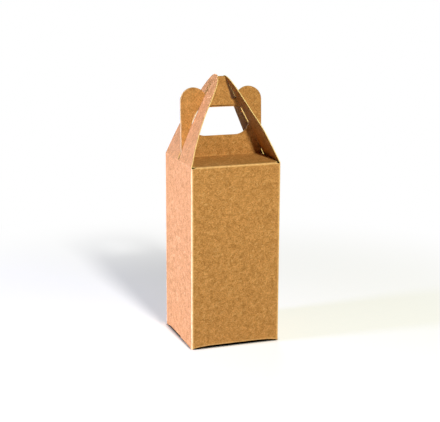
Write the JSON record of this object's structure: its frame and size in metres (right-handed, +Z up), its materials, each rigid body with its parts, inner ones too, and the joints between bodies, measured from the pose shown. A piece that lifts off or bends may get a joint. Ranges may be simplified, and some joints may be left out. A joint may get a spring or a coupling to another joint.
{
  "type": "handled gift carton",
  "caption": "Tall kraft card gift carton, folded from one sheet, with a double card handle through slots in tapered side flaps that swing open.",
  "frame": {"origin": "centre of the box that bounds the closed carton, at its underside", "axes": "+Z up along the tall walls, +X to the right across the front, front face towards -Y"},
  "size_m": [0.06, 0.056, 0.1739],
  "materials": {
    "kraft_card": "matte",
    "kraft_card_left": "matte",
    "kraft_card_right": "matte"
  },
  "bodies": {
    "carton": {"carton": "kraft_card"},
    "left_flap": {"left_flap": "kraft_card_left"},
    "right_flap": {"right_flap": "kraft_card_right"}
  },
  "joints": [
    {"name": "left_flap_fold", "type": "hinge", "parent": "carton", "child": "left_flap", "pos_m": [-0.02975, 0, 0.1196], "axis": [0, -1, 0], "range_deg": [0, 118]},
    {"name": "right_flap_fold", "type": "hinge", "parent": "carton", "child": "right_flap", "pos_m": [0.02975, 0, 0.1196], "axis": [0, 1, 0], "range_deg": [0, 118]}
  ]
}
